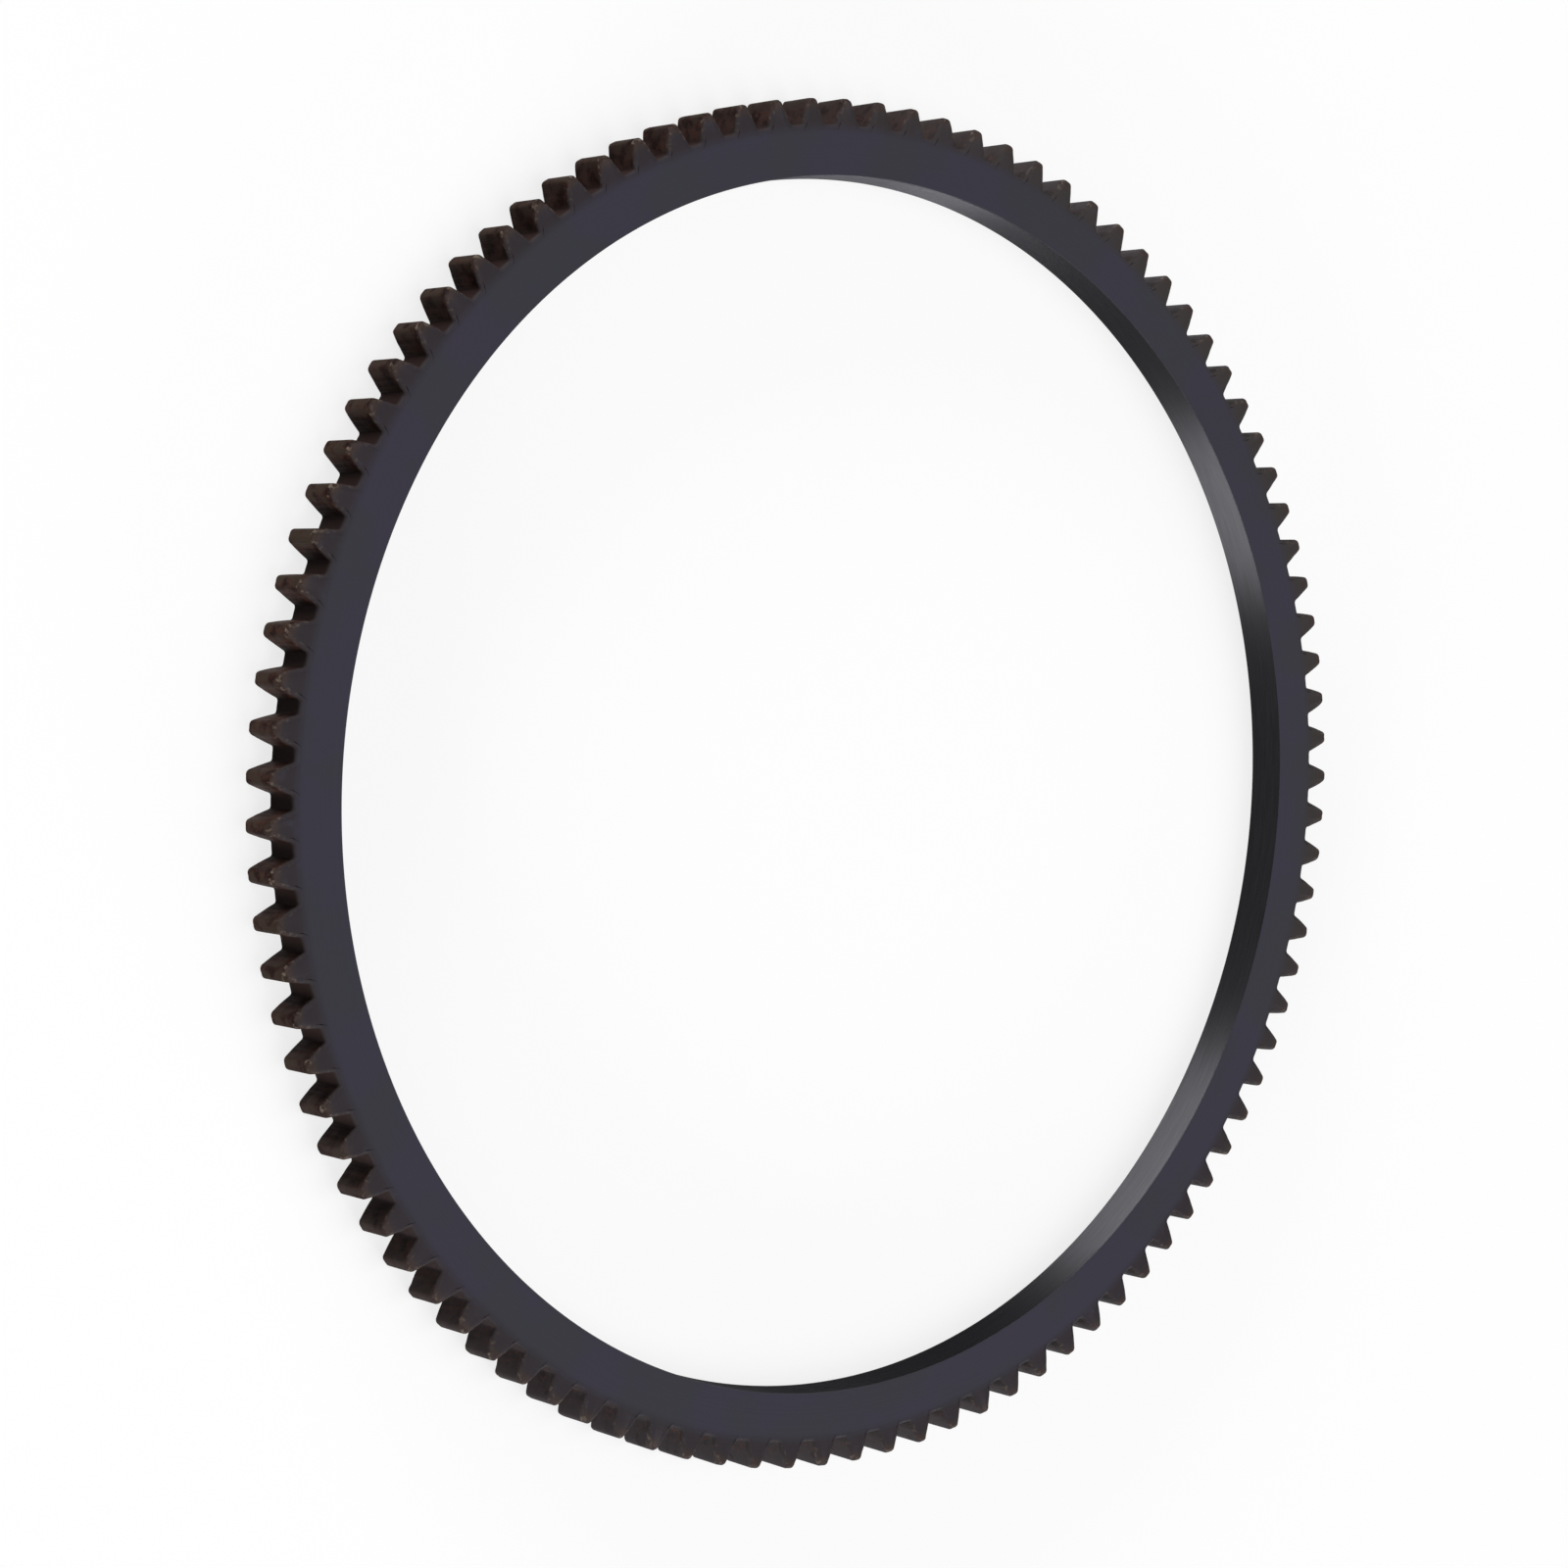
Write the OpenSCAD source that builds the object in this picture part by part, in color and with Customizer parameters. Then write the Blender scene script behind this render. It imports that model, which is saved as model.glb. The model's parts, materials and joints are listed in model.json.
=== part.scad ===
// Starter ring gear for an engine flywheel: one steel ring with spur teeth round its rim.
// It lies flat, with its axis along +Z and its origin on the axis, halfway through its width.

/* [Teeth] */
// Number of teeth round the rim
tooth_count = 97; // [60:1:150]
// Tooth module: the pitch circle's diameter divided by the number of teeth
tooth_module = 2.5; // [2:0.05:4]
// Height of a tooth above the pitch circle
addendum = 2.5; // [1.5:0.05:2.8]
// Depth of a gap below the pitch circle
dedendum = 2.2; // [1.5:0.05:3]
// Pressure angle of the flanks, in degrees
pressure_angle = 20; // [14.5:0.5:25]
// Radius of the corner where a flank runs into the floor of a gap
root_fillet = 0.5; // [0.1:0.05:0.9]

/* [Ring] */
// Width of the ring along its axis
ring_width = 7.5; // [4:0.1:20]
// Thickness of the rim, from the bore to the floor of a gap
rim_wall = 9.05; // [3:0.05:25]

/* [Edges] */
// Break on both edges of the bore
bore_break = 0.3; // [0.1:0.05:1]
// Break on both ends of a tooth, at its tip
tip_break = 0.3; // [0.1:0.05:1]

/* [Finish] */
// Colour of the blackened steel
steel_colour = "#3a3842"; // ["#3a3842", "#2b2a2e", "#4a3b33"]

/* [Hidden] */

$fn = 240;

// Straight steps that make up one flank and one root fillet
flank_steps = 4;
fillet_steps = 3;
// Length by which a flank is drawn past the tip circle, where the turned blank trims it
flank_overrun = 0.4;

pitch_r = tooth_count * tooth_module / 2;
base_r = pitch_r * cos(pressure_angle);
tip_r = pitch_r + addendum;
root_r = pitch_r - dedendum;
bore_r = root_r - rim_wall;
tooth_pitch = 360 / tooth_count;

// Angle that an arc of the given length covers on a circle of radius r
function arc_angle(length, r) = length / r * 180 / PI;
// Slope of the involute flank against the radius, where it crosses radius r
function flank_slope(r) = acos(min(1, base_r / r));
// Involute function of an angle, in degrees
function involute(a) = tan(a) * 180 / PI - a;
// Half the angle that a tooth covers at radius r
function half_angle(r) = tooth_pitch / 4 + involute(pressure_angle) - involute(flank_slope(r));
// Point at radius r and angle a
function polar(r, a) = [r * cos(a), r * sin(a)];

// The fillet is never wider than the floor of the gap that it rounds
gap_half = (tooth_pitch / 2 - half_angle(root_r)) * PI / 180 * root_r;
fillet_r = min(root_fillet, gap_half);
// Centre of the fillet beside the flank: the line a fillet's radius off an involute is an involute too
fillet_centre_r = root_r + fillet_r;
fillet_centre_a = half_angle(fillet_centre_r) + arc_angle(fillet_r, base_r);
fillet_sweep = 90 - flank_slope(fillet_centre_r);
// Radius at which the fillet runs into the flank
flank_start_r = norm([base_r, sqrt(pow(fillet_centre_r, 2) - pow(base_r, 2)) - fillet_r]);
flank_end_r = tip_r + flank_overrun;

// Left side of a tooth that points along +X, from its tip down to the floor of the gap
flank_points = [
    for (i = [0 : flank_steps - 1])
        let (r = flank_end_r + (flank_start_r - flank_end_r) * i / flank_steps)
        polar(r, half_angle(r))
];
fillet_points = [
    for (i = [0 : fillet_steps])
        let (turn = fillet_centre_a + 180 + fillet_sweep * (1 - i / fillet_steps))
        polar(fillet_centre_r, fillet_centre_a) + polar(fillet_r, turn)
];
left_side = concat(flank_points, fillet_points);
right_side = [for (i = [len(left_side) - 1 : -1 : 0]) [left_side[i].x, -left_side[i].y]];
tooth = concat(right_side, left_side);

// Point turned about the origin
function turned(p, a) = [p.x * cos(a) - p.y * sin(a), p.x * sin(a) + p.y * cos(a)];

// Outline of all the teeth, with no bore
module tooth_outline() {
    polygon([for (k = [0 : tooth_count - 1]) for (p = tooth) turned(p, k * tooth_pitch)]);
}

// Turned ring that the teeth are cut from, with its bore and its edge breaks
module turned_blank() {
    half_w = ring_width / 2;
    rotate_extrude()
        polygon([
            [bore_r, -half_w + bore_break],
            [bore_r + bore_break, -half_w],
            [tip_r - tip_break, -half_w],
            [tip_r, -half_w + tip_break],
            [tip_r, half_w - tip_break],
            [tip_r - tip_break, half_w],
            [bore_r + bore_break, half_w],
            [bore_r, half_w - bore_break]
        ]);
}

module ring_gear() {
    color(steel_colour)
        intersection() {
            turned_blank();
            linear_extrude(ring_width, center = true)
                tooth_outline();
        }
}

ring_gear();
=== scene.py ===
# Flywheel ring gear: a blackened steel ring that lies flat, with brown oxide on the teeth of its rim
import json
import math
from functools import cached_property

import bmesh
import bpy
from mathutils import Matrix, Vector


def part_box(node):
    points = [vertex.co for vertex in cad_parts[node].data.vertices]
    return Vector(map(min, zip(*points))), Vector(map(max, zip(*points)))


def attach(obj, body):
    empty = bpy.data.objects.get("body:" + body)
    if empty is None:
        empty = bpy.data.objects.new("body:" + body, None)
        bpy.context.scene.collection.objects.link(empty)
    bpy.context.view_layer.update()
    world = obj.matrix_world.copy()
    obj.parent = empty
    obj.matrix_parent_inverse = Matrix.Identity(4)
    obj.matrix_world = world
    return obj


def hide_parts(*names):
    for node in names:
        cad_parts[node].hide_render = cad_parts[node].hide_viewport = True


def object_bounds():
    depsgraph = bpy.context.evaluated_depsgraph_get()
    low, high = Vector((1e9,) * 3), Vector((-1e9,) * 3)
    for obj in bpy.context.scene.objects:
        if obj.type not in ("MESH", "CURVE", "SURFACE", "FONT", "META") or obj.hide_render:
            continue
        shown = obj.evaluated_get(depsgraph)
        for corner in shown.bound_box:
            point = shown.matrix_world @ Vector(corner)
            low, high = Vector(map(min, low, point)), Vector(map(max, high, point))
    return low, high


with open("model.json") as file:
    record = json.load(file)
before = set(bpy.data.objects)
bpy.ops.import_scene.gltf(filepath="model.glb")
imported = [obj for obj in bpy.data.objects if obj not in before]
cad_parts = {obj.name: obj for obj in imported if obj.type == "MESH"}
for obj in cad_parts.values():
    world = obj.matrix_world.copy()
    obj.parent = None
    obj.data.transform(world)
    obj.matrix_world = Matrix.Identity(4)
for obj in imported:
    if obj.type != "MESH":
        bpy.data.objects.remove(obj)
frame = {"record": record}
cad_low, cad_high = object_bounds()

MM = 0.001

# Names that the imported part gives to its node and its body
RING_NODE = "ring_gear"
RING_BODY = "root"
# Direction of the ring's axis, and the factors that leave only what lies across it
RING_AXIS = (0, 0, 1)
ACROSS_AXIS = (1, 1, 0)

# Ring, in metres: the frame gives its outer sizes and its bore
node_low, node_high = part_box(RING_NODE)
bore_mount = next(mount for mount in frame["record"]["mounts"] if mount["name"] == "bore")
BORE_R = bore_mount["dims"]["r_mm"] * MM
TIP_R = node_high.x
HALF_WIDTH = (node_high.z - node_low.z) / 2

# Tooth form: involute flanks with a small fillet at the floor of each gap
TOOTH_COUNT = 97
TOOTH_MODULE = 2.5 * MM
DEDENDUM = 2.2 * MM
PRESSURE_ANGLE = math.radians(20)
ROOT_FILLET = 0.5 * MM
PITCH_R = TOOTH_COUNT * TOOTH_MODULE / 2
BASE_R = PITCH_R * math.cos(PRESSURE_ANGLE)
ROOT_R = PITCH_R - DEDENDUM
TOOTH_PITCH = math.tau / TOOTH_COUNT

# Rounded edges: where a flank meets the tip, where the teeth meet each face, and at the bore
TIP_CORNER = 0.9 * MM
FRONT_EDGE = 0.7 * MM
BACK_EDGE = 0.3 * MM
BORE_EDGE = 0.15 * MM
# Strip beside a rounding that keeps the flat next to it flat
EDGE_GUARD = 0.1 * MM
# How far inside the floors of the gaps the last full circle on a face lies
RIM_INSET = 1.2 * MM

# Straight steps in a tip corner, a flank, a root fillet, a tooth's rounded edge and the bore's edge
CORNER_STEPS = 4
FLANK_STEPS = 5
FILLET_STEPS = 3
EDGE_STEPS = 4
BORE_STEPS = 2

# Zones of the ring, each with a finish of its own
RIM_ZONE = 0
BORE_ZONE = 1

# Wear: the deepest dent on a tooth's edges, the length of the dents, and the seed of their places
WEAR_DEPTH = 0.16 * MM
WEAR_LENGTH = 2.2 * MM
WEAR_SEED = 7
# Levels of a noise between which a dent deepens, the noise's finer layers, and the sense of a push inwards
DENT_LEVELS = (0.4, 0.75)
DENT_DETAIL = 2.0
INWARD = -1.0
# Distance within which the edges of two neighbouring pitches are welded
WELD_DISTANCE = 0.002 * MM


def involute(slope):
    """Involute function of the angle that a flank makes with the radius."""
    return math.tan(slope) - slope


def flank_slope(radius):
    """Angle between the flank and the radius, where the flank crosses that radius."""
    return math.acos(min(1.0, BASE_R / radius))


def half_angle(radius):
    """Half the angle that a tooth covers at that radius."""
    return TOOTH_PITCH / 4 + involute(PRESSURE_ANGLE) - involute(flank_slope(radius))


def flank_length(radius):
    """Length of the line that unwinds from the base circle out to that radius."""
    return math.sqrt(radius ** 2 - BASE_R ** 2)


def polar(radius, angle):
    """Point at that radius and angle."""
    return Vector((radius * math.cos(angle), radius * math.sin(angle), 0))


def arc(centre, radius, start, sweep, steps, hollow=False):
    """Points along an arc, each with the normal that points out of the steel."""
    points = []
    for step in range(steps + 1):
        outward = polar(1, start + sweep * step / steps)
        points.append((centre + radius * outward, -outward if hollow else outward))
    return points


def tooth_side():
    """One side of a tooth that points along +X: points and normals from mid tip to mid gap."""
    corner_r = TIP_R - TIP_CORNER
    corner_a = half_angle(corner_r) - TIP_CORNER / BASE_R
    flank_top = math.hypot(BASE_R, flank_length(corner_r) + TIP_CORNER)
    fillet_r = ROOT_R + ROOT_FILLET
    fillet_a = half_angle(fillet_r) + ROOT_FILLET / BASE_R
    flank_foot = math.hypot(BASE_R, flank_length(fillet_r) - ROOT_FILLET)

    side = [(polar(TIP_R, 0), polar(1, 0))]
    corner_turn = math.pi / 2 - flank_slope(corner_r)
    side += arc(polar(corner_r, corner_a), TIP_CORNER, corner_a, corner_turn, CORNER_STEPS)
    for step in range(1, FLANK_STEPS):
        radius = flank_top + (flank_foot - flank_top) * step / FLANK_STEPS
        angle = half_angle(radius)
        side.append((polar(radius, angle), polar(1, angle + math.pi / 2 - flank_slope(radius))))
    fillet_turn = math.pi / 2 - flank_slope(fillet_r)
    fillet_centre = polar(fillet_r, fillet_a)
    fillet_start = fillet_a + math.pi + fillet_turn
    side += arc(fillet_centre, ROOT_FILLET, fillet_start, -fillet_turn, FILLET_STEPS, hollow=True)
    side.append((polar(ROOT_R, TOOTH_PITCH / 2), polar(1, TOOTH_PITCH / 2)))
    return side


def tooth_outline():
    """One pitch of the rim's outline, from mid gap over the tooth to the next mid gap."""
    side = tooth_side()
    flip = Vector((1, -1, 1))
    other_side = [(point * flip, normal * flip) for point, normal in reversed(side[1:])]
    return other_side + side


def half_section(point, normal, edge):
    """Half of the ring's section at one point of the outline, from mid bore over a face to mid tooth.

    Each entry is a place in the plane of the face, a height above mid width, the share of wear and of
    the edge's soot and painted shade there, and the zone of the strip that follows it.
    """
    outward = Vector((point.x, point.y, 0)).normalized()
    tooth_share = (point.length - ROOT_R) / (TIP_R - ROOT_R)
    rows = [(outward * BORE_R, 0, 0, 0, BORE_ZONE)]
    rows.append((outward * BORE_R, HALF_WIDTH - BORE_EDGE - EDGE_GUARD, 0, 0, BORE_ZONE))
    for step in range(BORE_STEPS + 1):
        turn = math.pi / 2 * step / BORE_STEPS
        radius = BORE_R + BORE_EDGE * (1 - math.cos(turn))
        level = HALF_WIDTH - BORE_EDGE * (1 - math.sin(turn))
        zone = BORE_ZONE if step < BORE_STEPS else RIM_ZONE
        rows.append((outward * radius, level, 0, 0, zone))
    rows.append((outward * (BORE_R + BORE_EDGE + EDGE_GUARD), HALF_WIDTH, 0, 0, RIM_ZONE))
    rows.append((outward * (ROOT_R - RIM_INSET), HALF_WIDTH, 0, 0, RIM_ZONE))
    rows.append((point - normal * (edge + EDGE_GUARD), HALF_WIDTH, 0, 0, RIM_ZONE))
    # Rounded edge of the teeth: its share rises over the rounding and sets the soot and painted shade there
    for step in range(EDGE_STEPS + 1):
        share = step / EDGE_STEPS
        turn = math.pi / 2 * share
        inset = edge * (1 - math.sin(turn))
        level = HALF_WIDTH - edge * (1 - math.cos(turn))
        rows.append((point - normal * inset, level, tooth_share, share, RIM_ZONE))
    rows.append((point, HALF_WIDTH - edge - EDGE_GUARD, 0, 1, RIM_ZONE))
    return rows


def ring_section(point, normal):
    """Whole closed section at one point of the outline: the front half, mid tooth and the back half."""
    front = half_section(point, normal, FRONT_EDGE)
    back = half_section(point, normal, BACK_EDGE)
    rows = [(Vector((spot.x, spot.y, level)), wear, shade_and_soot, zone) for spot, level, wear, shade_and_soot, zone in front]
    rows.append((Vector((point.x, point.y, 0)), 0, 1, RIM_ZONE))
    for index in range(len(back) - 1, 0, -1):
        spot, level, wear, shade_and_soot, _ = back[index]
        zone_before = back[index - 1][-1]
        rows.append((Vector((spot.x, spot.y, -level)), wear, shade_and_soot, zone_before))
    return rows


def one_pitch_mesh():
    """Mesh of one tooth with its share of the ring, with its wear, the soot and painted shade of its edges,
    and zones as attributes.
    """
    shape = bmesh.new()
    wear_layer = shape.verts.layers.float.new("edge_wear")
    # Soot and painted shade over the rounded tooth edges, kept on each vertex
    shade_and_soot_layer = shape.verts.layers.float.new("edge_shade_and_soot")
    zone_layer = shape.faces.layers.int.new("zone")
    columns = []
    zones = []
    for point, normal in tooth_outline():
        rows = ring_section(point, normal)
        zones = [zone for place, wear, shade_and_soot, zone in rows]
        column = []
        for place, wear, shade_and_soot, zone in rows:
            vert = shape.verts.new(place)
            vert[wear_layer] = wear
            vert[shade_and_soot_layer] = shade_and_soot
            column.append(vert)
        columns.append(column)
    for left, right in zip(columns, columns[1:]):
        for index, zone in enumerate(zones):
            after = (index + 1) % len(zones)
            face = shape.faces.new((left[index], left[after], right[after], right[index]))
            face[zone_layer] = zone
    mesh = bpy.data.meshes.new("one_pitch")
    shape.to_mesh(mesh)
    shape.free()
    return mesh


# Layers of finer and finer detail in each noise of the finishes
NOISE_DETAIL = 3.0


class Graph:
    """Node tree under construction, with a short call for each kind of node that is often needed."""

    def __init__(self, tree):
        self.tree = tree

    def add(self, kind, inputs=None, **settings):
        node = self.tree.nodes.new(kind)
        for name, value in settings.items():
            setattr(node, name, value)
        for key, value in (inputs or {}).items():
            self.set(node.inputs[key], value)
        return node

    def set(self, socket, value):
        if isinstance(value, bpy.types.NodeSocket):
            self.tree.links.new(value, socket)
        else:
            socket.default_value = value

    def maths(self, operation, *values):
        return self.add("ShaderNodeMath", dict(enumerate(values)), operation=operation).outputs[0]

    def ramp(self, value, start, end, low=0.0, high=1.0):
        limits = {"Value": value, "From Min": start, "From Max": end, "To Min": low, "To Max": high}
        return self.add("ShaderNodeMapRange", limits, interpolation_type="SMOOTHSTEP").outputs[0]

    def noise(self, place, size, dimensions="3D"):
        inputs = {"Scale": 1 / size, "Detail": NOISE_DETAIL, "W" if dimensions == "1D" else "Vector": place}
        return self.add("ShaderNodeTexNoise", inputs, noise_dimensions=dimensions).outputs[0]

    def blend(self, share, first, second):
        node = self.add("ShaderNodeMix", data_type="RGBA")
        for name, value in (("Factor_Float", share), ("A_Color", first), ("B_Color", second)):
            socket = next(socket for socket in node.inputs if socket.identifier == name)
            self.set(socket, (*value, 1) if isinstance(value, tuple) else value)
        return next(socket for socket in node.outputs if socket.identifier == "Result_Color")


class Finish(Graph):
    """Material under construction, with the places on the ring that its patterns follow."""

    def __init__(self, name, **constants):
        self.material = bpy.data.materials.new(name)
        self.material.use_nodes = True
        super().__init__(self.material.node_tree)
        self.shader = self.tree.nodes["Principled BSDF"]
        for socket, value in constants.items():
            self.set(self.shader.inputs[socket.replace("_", " ")], value)

    @cached_property
    def place(self):
        return self.add("ShaderNodeTexCoord").outputs["Object"]

    @cached_property
    def axial(self):
        return self.add("ShaderNodeSeparateXYZ", {0: self.place}).outputs["Z"]

    @cached_property
    def depth(self):
        return self.maths("SUBTRACT", HALF_WIDTH, self.maths("ABSOLUTE", self.axial))

    @cached_property
    def radius(self):
        inputs = {0: self.place, 1: ACROSS_AXIS}
        across = self.add("ShaderNodeVectorMath", inputs, operation="MULTIPLY").outputs[0]
        return self.add("ShaderNodeVectorMath", {0: across}, operation="LENGTH").outputs["Value"]

    def attribute(self, name):
        return self.add("ShaderNodeAttribute", attribute_name=name).outputs["Fac"]

    def mottle(self, size, levels):
        return self.ramp(self.noise(self.place, size), *levels)

    def shares(self, first, second):
        return self.maths("MULTIPLY", first, second)

    def towards(self, angle):
        inputs = {0: self.place, 1: polar(1, angle)}
        return self.add("ShaderNodeVectorMath", inputs, operation="DOT_PRODUCT").outputs["Value"]

    def grain(self, height, depth):
        inputs = {"Height": height, "Distance": depth}
        self.set(self.shader.inputs["Normal"], self.add("ShaderNodeBump", inputs).outputs[0])

    def colour(self, value):
        self.set(self.shader.inputs["Base Color"], value)

    def roughness(self, value):
        self.set(self.shader.inputs["Roughness"], value)


# Colours of the steel, of what is on it, and of what the bore mirrors at a glancing angle
CHARCOAL_BLUE = (0.0405, 0.0373, 0.0545)
CHARCOAL_GREEN = (0.0385, 0.0383, 0.0468)
TOOTH_SOOT = (0.0305, 0.0253, 0.0288)
TOOTH_LIGHTER = (0.0420, 0.0365, 0.0365)
TIP_FACE_BROWN = (0.047, 0.034, 0.030)
TIP_LAND_BROWN = (0.0195, 0.0132, 0.0098)
RUBBED_TAN = (0.085, 0.066, 0.053)
BORE_STEEL = (0.058, 0.057, 0.063)
BORE_STAIN = (0.053, 0.053, 0.057)
BORE_GLANCE = (0.16, 0.16, 0.17, 1)
# Soot with painted shade over the rounded tooth edges, darkest where they turn to the side and catch the
# light
EDGE_SHADE_AND_SOOT = (0.019, 0.015, 0.0145)
GAP_FLOOR_DARK = (0.0165, 0.0090, 0.0082)
OXIDE_BLACK = (0.0080, 0.0034, 0.0027)
OXIDE_BROWN = (0.0305, 0.0158, 0.0125)
OXIDE_RUST = (0.038, 0.013, 0.009)
# Oxide and rust specks lightened with painted light on one side of the ring
OXIDE_PAINTED_LIGHT = (0.0295, 0.0258, 0.0280)
RUST_IN_PAINTED_LIGHT = (0.050, 0.026, 0.020)

# Sizes of the marks in the finishes, and heights of their grain
BLOTCH = 14 * MM
BORE_STREAK = 9 * MM
RUST_PATCH = 2.4 * MM
RUST_SPOT = 0.8 * MM
RUB_MARK = 0.9 * MM
GRIT = 0.5 * MM
TURNING_MARK = 0.35 * MM
RIM_GRAIN = 0.008 * MM
BORE_GRAIN = 0.03 * MM
# Stretch of the bore's highlights, and the turn that lays it along the axis
BORE_STRETCH = 1.0
QUARTER_TURN = 0.25
# How much shorter a streak in the bore is along the axis than round it
STREAK_FLATNESS = 30

# Levels of a noise between which a pattern fades in: near cover, wide clouds and sparse spots
COVER = (0.10, 0.45)
CLOUDS = (0.35, 0.65)
SPOTS = (0.52, 0.68)

# Radii between which the faces turn sooty, and then brown towards the tips
SOOT_FROM = ROOT_R - 2.0 * MM
SOOT_TO = ROOT_R + 0.8 * MM
TIP_FROM = TIP_R - 2.6 * MM
TIP_TO = TIP_R - 0.4 * MM
# Side of the ring towards which the tooth faces are lighter, and the distances along it over which they
# lighten
LIGHTER_SIDE = math.radians(30)
LIGHTER_FROM = 0.2 * TIP_R
LIGHTER_TO = 0.9 * TIP_R
# Side of the ring towards which painted light makes the gaps lighter and greyer, and the distances along it
# over which it comes in
PAINTED_LIGHT_SIDE = math.radians(-25)
PAINTED_LIGHT_FROM = -0.85 * TIP_R
PAINTED_LIGHT_TO = 0.25 * TIP_R
# Depth below the faces at which the oxide starts in the gaps and on the tips, its fade and its raggedness
GAP_OXIDE_DEPTH = 0.75 * MM
TIP_OXIDE_DEPTH = 0.05 * MM
OXIDE_FADE = (0.1 * MM, 0.6 * MM)
RAGGED = 0.6 * MM
# Radii between which the oxide turns darker, and rust specks the painted light, towards the floor of a gap
GAP_DARK_FROM = ROOT_R + 1.0 * MM
GAP_DARK_TO = ROOT_R + 0.2 * MM
SPECK_FROM = TIP_R - 1.0 * MM
SPECK_TO = ROOT_R + 1.0 * MM

# Bare metal, the gloss of the rim, and the ranges of roughness
BARE_METAL = 1.0
RIM_GLOSS = 0.03
RIM_ROUGHNESS = (0.52, 0.7)
BORE_ROUGHNESS = (0.49, 0.52)


def face_colour(finish):
    """Charcoal of the flat faces, sooty and then brown out on the teeth, lighter towards one side, with
    soot and painted shade over the rounded edges.
    """
    charcoal = finish.blend(finish.mottle(BLOTCH, CLOUDS), CHARCOAL_BLUE, CHARCOAL_GREEN)
    cover = finish.mottle(RUST_PATCH, COVER)
    on_tooth = finish.shares(finish.ramp(finish.radius, SOOT_FROM, SOOT_TO), cover)
    # Tooth faces lighter towards one side of the ring
    lighter = finish.ramp(finish.towards(LIGHTER_SIDE), LIGHTER_FROM, LIGHTER_TO)
    darkened = finish.blend(on_tooth, charcoal, finish.blend(lighter, TOOTH_SOOT, TOOTH_LIGHTER))
    # Soot and painted shade over the rounded edges, darkest where they turn to the side and catch the light
    edged = finish.blend(finish.attribute("edge_shade_and_soot"), darkened, EDGE_SHADE_AND_SOOT)
    near_tip = finish.ramp(finish.radius, TIP_FROM, TIP_TO)
    return finish.blend(finish.shares(near_tip, cover), edged, TIP_FACE_BROWN)


def gap_colour(finish):
    """Black, brown and rust of the flanks and gaps, browner on the tips, darker at the floor of a gap, with
    painted light on one side.
    """
    oxide = finish.blend(finish.mottle(RUST_PATCH, CLOUDS), OXIDE_BLACK, OXIDE_BROWN)
    rust = finish.shares(finish.mottle(RUST_SPOT, SPOTS), finish.attribute("tooth_tone"))
    rusty = finish.blend(rust, oxide, OXIDE_RUST)
    # The oxide turns darker towards the floor of a gap
    darkened = finish.blend(finish.ramp(finish.radius, GAP_DARK_FROM, GAP_DARK_TO), rusty, GAP_FLOOR_DARK)
    near_tip = finish.ramp(finish.radius, TIP_FROM, TIP_TO)
    tip = finish.blend(finish.shares(near_tip, finish.mottle(RUST_PATCH, CLOUDS)), darkened, TIP_LAND_BROWN)
    # Painted light: the flanks and gaps turn lighter and greyer towards one side, with lighter rust specks
    painted_light = finish.ramp(finish.towards(PAINTED_LIGHT_SIDE), PAINTED_LIGHT_FROM, PAINTED_LIGHT_TO)
    lightened = finish.blend(finish.shares(painted_light, finish.mottle(RUST_PATCH, COVER)), tip, OXIDE_PAINTED_LIGHT)
    low = finish.ramp(finish.radius, SPECK_FROM, SPECK_TO)
    specks = finish.shares(finish.shares(painted_light, low), finish.mottle(RUST_SPOT, SPOTS))
    return finish.blend(specks, lightened, RUST_IN_PAINTED_LIGHT)


def blackened_rim():
    """Faces and teeth: charcoal steel, with the oxide of the gaps creeping over its edges."""
    finish = Finish("blackened_rim", Specular_IOR_Level=RIM_GLOSS)
    start = finish.ramp(finish.radius, ROOT_R, TIP_R, GAP_OXIDE_DEPTH, TIP_OXIDE_DEPTH)
    beyond = finish.maths("SUBTRACT", finish.depth, start)
    ragged = finish.shares(finish.noise(finish.place, RUST_SPOT), RAGGED)
    oxide = finish.ramp(finish.maths("ADD", beyond, ragged), *OXIDE_FADE)
    steel = finish.blend(oxide, face_colour(finish), gap_colour(finish))
    rubbed = finish.shares(finish.attribute("edge_wear"), finish.mottle(RUB_MARK, SPOTS))
    finish.colour(finish.blend(rubbed, steel, RUBBED_TAN))
    turning = finish.noise(finish.radius, TURNING_MARK, "1D")
    finish.roughness(finish.ramp(turning, *CLOUDS, *RIM_ROUGHNESS))
    finish.grain(finish.maths("ADD", turning, finish.noise(finish.place, GRIT)), RIM_GRAIN)
    return finish.material


def turned_bore():
    """Bore: dark bare steel, turned smooth, so that it shows light and dark bands round its axis."""
    finish = Finish(
        "turned_bore",
        Metallic=BARE_METAL,
        Specular_Tint=BORE_GLANCE,
        Anisotropic=BORE_STRETCH,
        Anisotropic_Rotation=QUARTER_TURN,
    )
    flatten = {"Vector": finish.place, "Scale": (1, 1, STREAK_FLATNESS)}
    along = finish.add("ShaderNodeMapping", flatten).outputs[0]
    streaks = finish.ramp(finish.noise(along, BORE_STREAK), *CLOUDS)
    finish.colour(finish.blend(streaks, BORE_STEEL, BORE_STAIN))
    finish.roughness(finish.ramp(streaks, 0, 1, *BORE_ROUGHNESS))
    finish.grain(finish.noise(finish.axial, TURNING_MARK, "1D"), BORE_GRAIN)
    tangent = finish.add("ShaderNodeTangent", direction_type="RADIAL", axis="Z").outputs[0]
    finish.set(finish.shader.inputs["Tangent"], tangent)
    return finish.material


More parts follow.
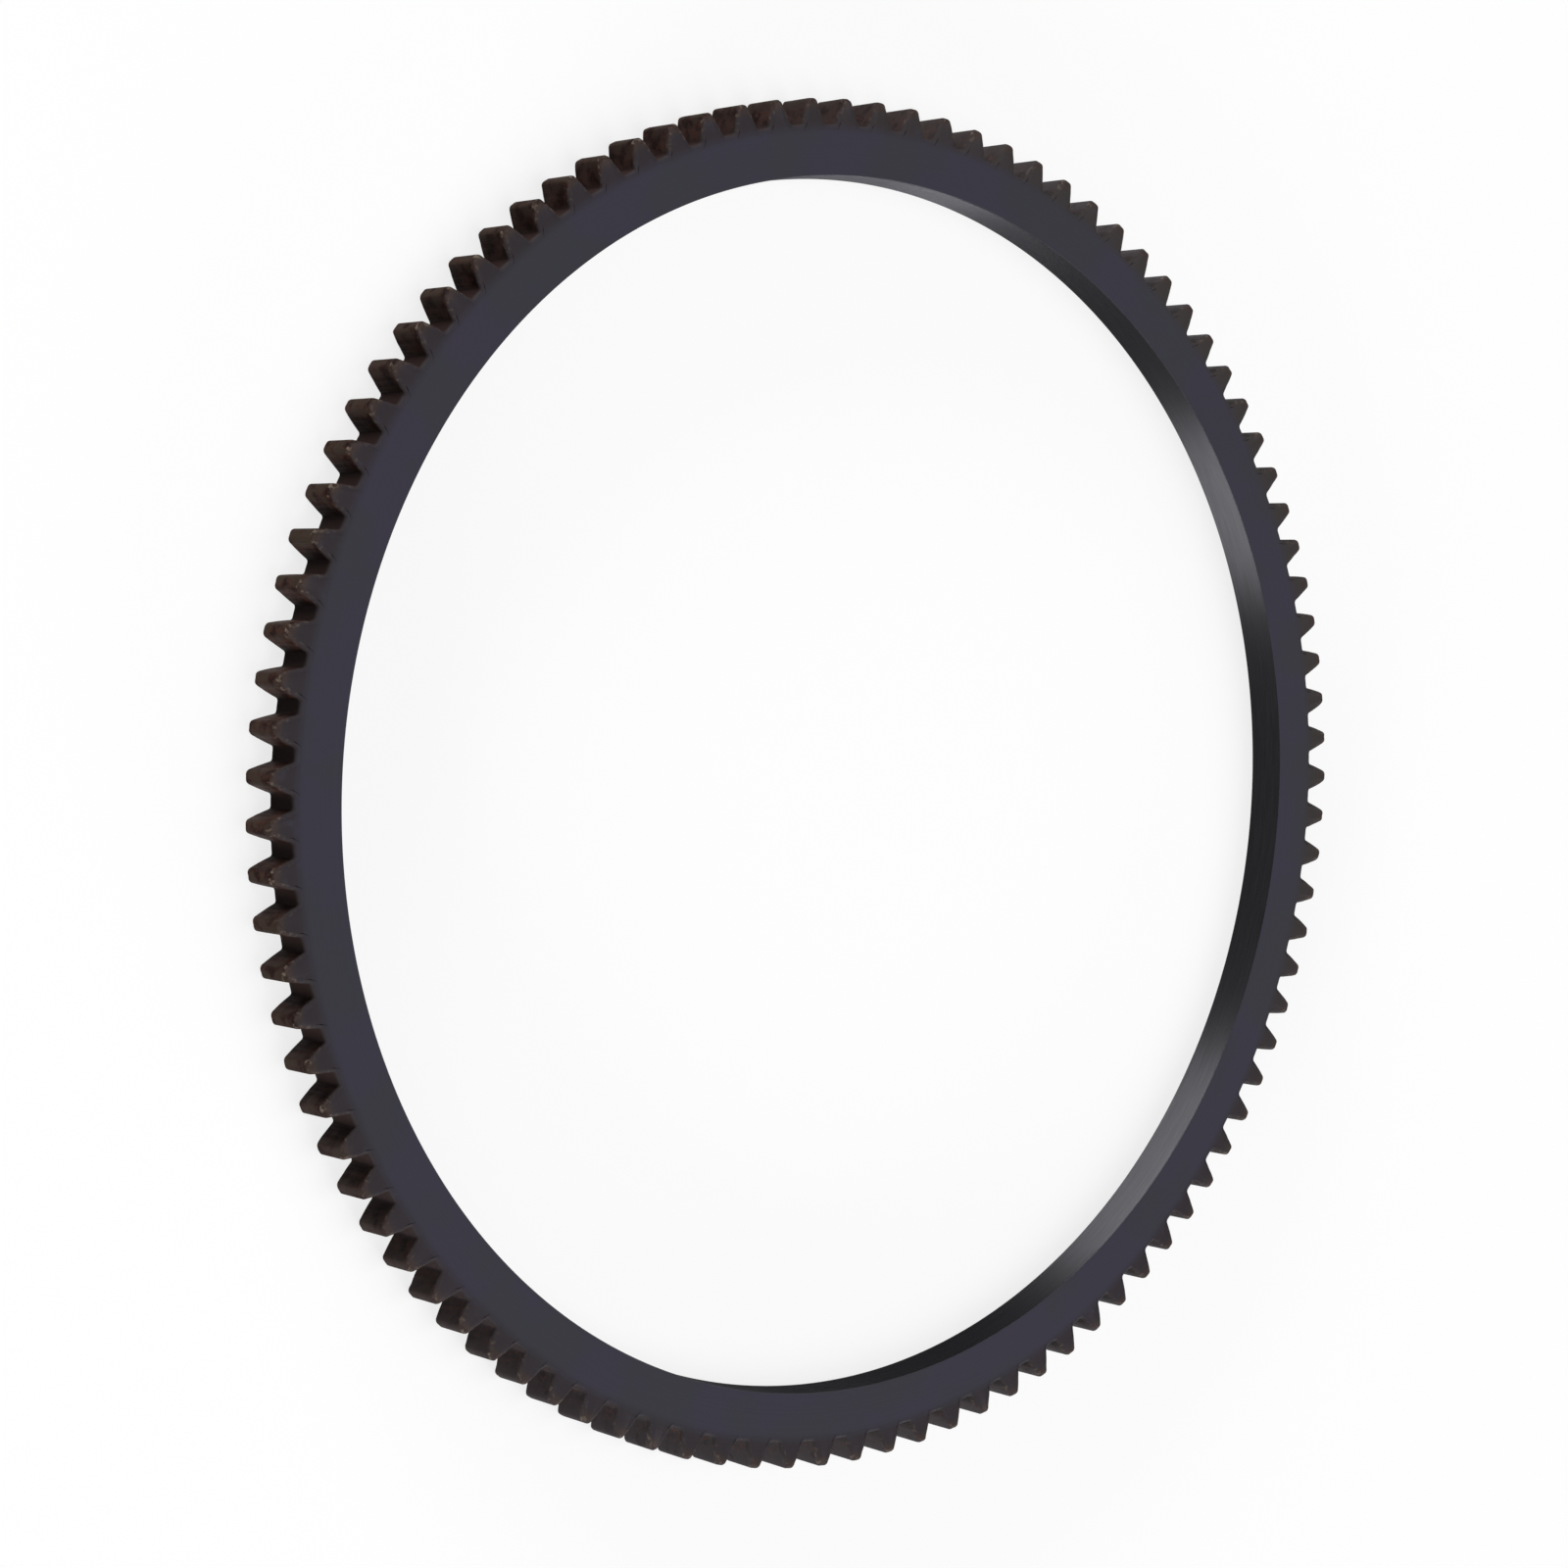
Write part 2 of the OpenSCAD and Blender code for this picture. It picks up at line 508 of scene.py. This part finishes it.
def named_attribute(graph, name, kind):
    """Value of the mesh's own attribute of that name."""
    node = graph.add("GeometryNodeInputNamedAttribute", {"Name": name}, data_type=kind)
    return next(socket for socket in node.outputs if socket.name == "Attribute" and socket.enabled)


def toothed_rim_tree():
    """Geometry tree that turns one pitch into the whole worn ring, and its inputs by name."""
    tree = bpy.data.node_groups.new("toothed_rim", "GeometryNodeTree")
    wanted = {
        "One Pitch": "NodeSocketGeometry",
        "Tooth Count": "NodeSocketInt",
        "Weld Distance": "NodeSocketFloat",
        "Wear Depth": "NodeSocketFloat",
        "Wear Length": "NodeSocketFloat",
        "Seed": "NodeSocketInt",
        "Rim Finish": "NodeSocketMaterial",
        "Bore Finish": "NodeSocketMaterial",
    }
    sockets = {}
    for name, kind in wanted.items():
        sockets[name] = tree.interface.new_socket(name, in_out="INPUT", socket_type=kind).identifier
    tree.interface.new_socket("Ring", in_out="OUTPUT", socket_type="NodeSocketGeometry")

    graph = Graph(tree)
    given = graph.add("NodeGroupInput").outputs
    count = given["Tooth Count"]

    # One copy of the pitch for each tooth, turned about the ring's axis
    index = graph.add("GeometryNodeInputIndex").outputs[0]
    angle = graph.maths("MULTIPLY", index, graph.maths("DIVIDE", math.tau, count))
    turn = graph.add("FunctionNodeAxisAngleToRotation", {"Axis": RING_AXIS, "Angle": angle}).outputs[0]
    spots = graph.add("GeometryNodePoints", {"Count": count}).outputs[0]
    copies = graph.add(
        "GeometryNodeInstanceOnPoints",
        {"Points": spots, "Instance": given["One Pitch"], "Rotation": turn},
    ).outputs[0]
    tone = graph.add("FunctionNodeRandomValue", {"ID": index, "Seed": given["Seed"]}, data_type="FLOAT")
    toned = graph.add(
        "GeometryNodeStoreNamedAttribute",
        {"Geometry": copies, "Name": "tooth_tone", "Value": tone.outputs[1]},
        data_type="FLOAT",
        domain="INSTANCE",
    ).outputs[0]
    solid = graph.add("GeometryNodeRealizeInstances", {"Geometry": toned}).outputs[0]
    welded = graph.add(
        "GeometryNodeMergeByDistance",
        {"Geometry": solid, "Distance": given["Weld Distance"]},
    ).outputs[0]

    # Dents along the edges of the teeth, pressed into the steel
    place = graph.add("GeometryNodeInputPosition").outputs[0]
    grain = graph.maths("DIVIDE", 1.0, given["Wear Length"])
    dents = graph.add(
        "ShaderNodeTexNoise",
        {"Vector": place, "W": given["Seed"], "Scale": grain, "Detail": DENT_DETAIL},
        noise_dimensions="4D",
    ).outputs[0]
    share = graph.ramp(dents, *DENT_LEVELS)
    depth = graph.maths("MULTIPLY", share, given["Wear Depth"])
    depth = graph.maths("MULTIPLY", depth, named_attribute(graph, "edge_wear", "FLOAT"))
    inward = graph.maths("MULTIPLY", depth, INWARD)
    normal = graph.add("GeometryNodeInputNormal").outputs[0]
    push = graph.add("ShaderNodeVectorMath", {0: normal, "Scale": inward}, operation="SCALE").outputs[0]
    worn = graph.add("GeometryNodeSetPosition", {"Geometry": welded, "Offset": push}).outputs[0]
    shaded = graph.add("GeometryNodeSetShadeSmooth", {"Geometry": worn}).outputs[0]

    # A finish for each zone
    zone = named_attribute(graph, "zone", "INT")
    for number, name in ((RIM_ZONE, "Rim Finish"), (BORE_ZONE, "Bore Finish")):
        same = graph.add("FunctionNodeCompare", data_type="INT", operation="EQUAL")
        for key, value in (("A_INT", zone), ("B_INT", number)):
            graph.set(next(socket for socket in same.inputs if socket.identifier == key), value)
        shaded = graph.add(
            "GeometryNodeSetMaterial",
            {"Geometry": shaded, "Selection": same.outputs[0], "Material": given[name]},
        ).outputs[0]
    graph.add("NodeGroupOutput", {"Ring": shaded})
    return tree, sockets


def make_ring():
    """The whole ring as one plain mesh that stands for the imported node."""
    ring = bpy.data.objects.new("ring", one_pitch_mesh())
    bpy.context.scene.collection.objects.link(ring)
    tree, sockets = toothed_rim_tree()
    rim = ring.modifiers.new("toothed_rim", "NODES")
    rim.node_group = tree
    settings = {
        "Tooth Count": TOOTH_COUNT,
        "Weld Distance": WELD_DISTANCE,
        "Wear Depth": WEAR_DEPTH,
        "Wear Length": WEAR_LENGTH,
        "Seed": WEAR_SEED,
        "Rim Finish": blackened_rim(),
        "Bore Finish": turned_bore(),
    }
    for name, value in settings.items():
        rim[sockets[name]] = value
    ready = ring.evaluated_get(bpy.context.evaluated_depsgraph_get())
    whole = bpy.data.meshes.new_from_object(ready)
    ring.modifiers.remove(rim)
    ring.data = whole
    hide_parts(RING_NODE)
    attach(ring, RING_BODY)


# Stage: a round floor, matt and without gloss, under an even sky
FLOOR_R = 8.0
FLOOR_SIDES = 96
FLOOR_WHITE = (0.95, 0.95, 0.95, 1)
MATT = 1.0
NO_GLOSS = 0.0
PLAIN_WHITE = (1, 1, 1, 1)
WORLD_LEVEL = 0.12
# Share of the floor that shows plain white, so that the shadow on it stays light
FLOOR_GLOW = 0.78

# Main lamp: a wide soft sun on the far side, with its place and spread in degrees, and its strength
MAIN_AZIMUTH = -25
MAIN_ELEVATION = 52
MAIN_SPREAD = 60
MAIN_STRENGTH = 2.3
# Long strip lamps that stand on the floor, which the bore mirrors as bands
STRIP_DISTANCE = 4.5
STRIP_HEIGHT = 0.9
# Azimuth and width of each strip in degrees, and its power in watts
STRIPS = {
    "upper_left_strip": (114, 43, 352),
    "lower_left_strip": (229, 28, 250),
    "lower_right_strip": (306, 24, 112),
}


def pale_floor():
    """Matt white, part of which looks evenly white to the eye, in mirrors and through glass alike."""
    finish = Finish("pale_floor", Base_Color=FLOOR_WHITE, Roughness=MATT, Specular_IOR_Level=NO_GLOSS)
    seen = finish.add("ShaderNodeLightPath").outputs
    rays = finish.maths("ADD", seen["Is Camera Ray"], seen["Is Glossy Ray"])
    rays = finish.maths("ADD", rays, seen["Is Transmission Ray"])
    share = finish.maths("MULTIPLY", rays, FLOOR_GLOW)
    glow = finish.add("ShaderNodeEmission", {"Color": PLAIN_WHITE}).outputs[0]
    mixed = finish.add("ShaderNodeMixShader", {0: share, 1: finish.shader.outputs[0], 2: glow}).outputs[0]
    finish.set(finish.tree.nodes["Material Output"].inputs["Surface"], mixed)
    return finish.material


def make_floor():
    """Plain pale floor that the ring lies on."""
    shape = bmesh.new()
    bmesh.ops.create_circle(shape, cap_ends=True, segments=FLOOR_SIDES, radius=FLOOR_R)
    bmesh.ops.translate(shape, verts=shape.verts, vec=(0, 0, cad_low.z))
    mesh = bpy.data.meshes.new("floor")
    shape.to_mesh(mesh)
    shape.free()
    floor = bpy.data.objects.new("floor", mesh)
    bpy.context.scene.collection.objects.link(floor)
    mesh.materials.append(pale_floor())


def make_light():
    """Even pale surroundings and a few wide soft lamps."""
    world = bpy.data.worlds.new("studio")
    world.use_nodes = True
    sky = world.node_tree.nodes["Background"]
    sky.inputs["Color"].default_value = PLAIN_WHITE
    sky.inputs["Strength"].default_value = WORLD_LEVEL
    bpy.context.scene.world = world
    main = bpy.data.lights.new("main", "SUN")
    main.energy = MAIN_STRENGTH
    main.angle = math.radians(MAIN_SPREAD)
    rise = math.radians(MAIN_ELEVATION)
    place_lamp(main, polar(math.cos(rise), math.radians(MAIN_AZIMUTH)) + Vector((0, 0, math.sin(rise))))
    for name, (azimuth, width, power) in STRIPS.items():
        strip = bpy.data.lights.new(name, "AREA")
        strip.shape = "RECTANGLE"
        strip.size = 2 * STRIP_DISTANCE * math.tan(math.radians(width / 2))
        strip.size_y = STRIP_HEIGHT
        strip.energy = power
        place_lamp(strip, polar(STRIP_DISTANCE, math.radians(azimuth)) + Vector((0, 0, STRIP_HEIGHT / 2)))


def place_lamp(light, place):
    """Lamp at that place, turned towards the ring."""
    lamp = bpy.data.objects.new(light.name, light)
    lamp.location = place
    lamp.rotation_euler = place.to_track_quat("Z", "Y").to_euler()
    bpy.context.scene.collection.objects.link(lamp)


# Camera: the frame is square, and the focal length is in its pixels
FRAME_PX = 1600
FOCAL_PX = 3618
SENSOR_MM = 36
# Angle between the ring's axis and the line of sight, and how far that tilt leans out of the level
AXIS_TILT = math.radians(39.06)
AXIS_LEAN = math.radians(4.565)
# Middle of the ring as the camera sees it, in bore radii: to the right, down and away
RING_RIGHT = 0.1057
RING_DOWN = 0.0057
RING_AWAY = 5.877
# Share of a pitch by which the camera goes on round the ring, so that the teeth lie as they should in view
TOOTH_PHASE = 0.296
# The view counts right, down and away, and a camera's own axes point right, up and back
VIEW_TO_CAMERA = (1, -1, -1)


def make_camera():
    """Camera that looks down on the lying ring, rolled on its side so that +Y points up in its view."""
    axis = Vector((
        math.sin(AXIS_TILT) * math.cos(AXIS_LEAN),
        math.sin(AXIS_TILT) * math.sin(AXIS_LEAN),
        -math.cos(AXIS_TILT),
    ))
    across = axis.cross(Vector((0, 1, 0))).normalized()
    along = axis.cross(across)
    turned = Matrix.Rotation(-TOOTH_PHASE * TOOTH_PITCH, 3, "Z") @ Matrix((across, along, axis))
    middle = Vector((RING_RIGHT, RING_DOWN, RING_AWAY)) * BORE_R
    lens = bpy.data.cameras.new("camera")
    lens.sensor_width = SENSOR_MM
    lens.lens = FOCAL_PX / FRAME_PX * SENSOR_MM
    camera = bpy.data.objects.new("camera", lens)
    facing = turned @ Matrix.Diagonal(VIEW_TO_CAMERA)
    camera.matrix_world = Matrix.Translation(turned @ -middle) @ facing.to_4x4()
    bpy.context.scene.collection.objects.link(camera)
    bpy.context.scene.camera = camera


make_ring()
make_floor()
make_light()
make_camera()
bpy.context.scene.view_settings.view_transform = "Standard"
